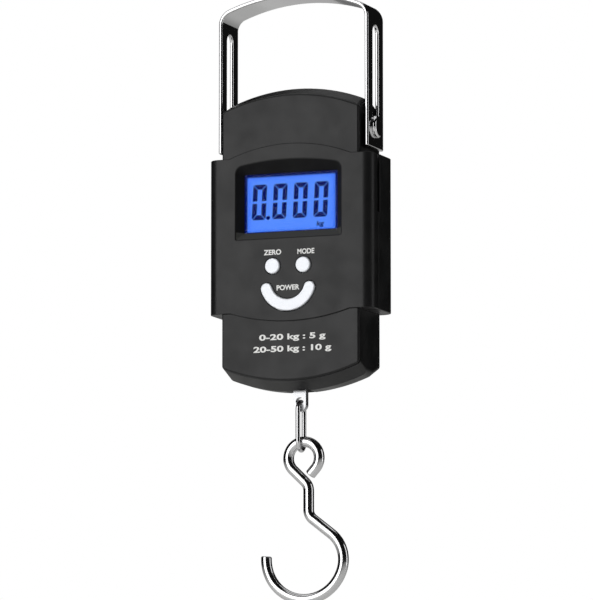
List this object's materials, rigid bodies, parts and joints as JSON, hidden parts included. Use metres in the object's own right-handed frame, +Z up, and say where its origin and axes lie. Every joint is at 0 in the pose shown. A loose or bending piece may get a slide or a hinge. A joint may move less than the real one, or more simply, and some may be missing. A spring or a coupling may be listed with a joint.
{
  "type": "digital hanging scale",
  "caption": "Hand-held digital hanging scale for fish: black case, steel strap handle that slides down over it, lit display, keys, and a wire hook on a link.",
  "frame": {"origin": "crown of the underside of the handle's arch, mid width and mid depth, where a hand or a peg carries the scale", "axes": "+Z up along the load line, -Y towards the side with the display, +X to the right of someone reading the display"},
  "size_m": [0.072, 0.0272, 0.2521],
  "materials": {
    "black_shell": "black moulded ABS with a fairly glossy, very fine grain",
    "black_tray": "plain black moulding",
    "bright_steel": "polished stainless steel strap and pins",
    "hook_steel": "nickel-plated round wire",
    "plain_steel": "zinc-plated steel, satin",
    "screw_steel": "zinc-plated steel",
    "nickel": "nickel-plated spring steel",
    "white_nylon": "natural nylon",
    "clear_lens": "clear flat acrylic window",
    "blue_display": "blue liquid-crystal cell lit from behind",
    "light_guide": "milky light guide",
    "grey_rubber": "silicone contact strip",
    "green_board": "fibreglass board with green lacquer",
    "chip_black": "moulded component bodies",
    "silver_key": "pale silver painted keys",
    "cell_aluminium": "milled bar",
    "gauge_foil": "amber film with foil grid",
    "lead_cover": "PVC covered wire",
    "cell_jacket": "plain coloured foil jacket"
  },
  "bodies": {
    "handle": {"handle_strap": "bright_steel"},
    "case": {"guide_pin_left": "bright_steel", "guide_pin_right": "bright_steel", "spacer_washers": "white_nylon", "front_case": "black_shell", "rear_case": "black_shell", "case_screws": "screw_steel", "front_cover": "black_shell", "rear_cover": "black_shell", "window_lens": "clear_lens", "display_glass": "blue_display", "light_panel": "light_guide", "display_frame": "white_nylon", "contact_strips": "grey_rubber", "circuit_board": "green_board", "board_chips": "chip_black", "board_screws": "screw_steel", "key_switches": "chip_black", "cross_bar": "plain_steel", "cell_bolt": "screw_steel", "load_cell": "cell_aluminium", "strain_gauges": "gauge_foil", "gauge_leads": "lead_cover", "hook_tab": "plain_steel", "battery_left": "cell_jacket", "battery_right": "cell_jacket", "battery_tray": "black_tray", "contact_plates": "nickel", "contact_springs": "nickel", "battery_leads": "lead_cover"},
    "door": {"battery_door": "black_shell"},
    "tare_button": {"tare_key": "silver_key"},
    "unit_button": {"unit_key": "silver_key"},
    "power_button": {"power_key": "silver_key"},
    "link": {"hook_link": "hook_steel"},
    "hook_wire": {"hook": "hook_steel"}
  },
  "joints": [
    {"name": "handle_slide", "type": "slide", "parent": "handle", "child": "case", "axis": [0, 0, 1], "range_m": [0, 0.0375]},
    {"name": "tare_press", "type": "slide", "parent": "case", "child": "tare_button", "axis": [0, 1, 0], "range_m": [0, 0.0005], "stiffness_N_per_m": 1500, "springref_m": -0.0004},
    {"name": "unit_press", "type": "slide", "parent": "case", "child": "unit_button", "axis": [0, 1, 0], "range_m": [0, 0.0005], "stiffness_N_per_m": 1500, "springref_m": -0.0004},
    {"name": "power_press", "type": "slide", "parent": "case", "child": "power_button", "axis": [0, 1, 0], "range_m": [0, 0.0005], "stiffness_N_per_m": 1500, "springref_m": -0.0004},
    {"name": "door_swing", "type": "hinge", "parent": "case", "child": "door", "pos_m": [0, 0.0123, -0.0772], "axis": [1, 0, 0], "range_deg": [0, 100]},
    {"name": "link_swing", "type": "hinge", "parent": "case", "child": "link", "pos_m": [0, 0, -0.16725], "axis": [0, 1, 0], "range_deg": [-60, 60]},
    {"name": "hook_swing", "type": "hinge", "parent": "link", "child": "hook_wire", "pos_m": [0, 0, -0.18367], "axis": [1, 0, 0], "range_deg": [-80, 80]}
  ]
}
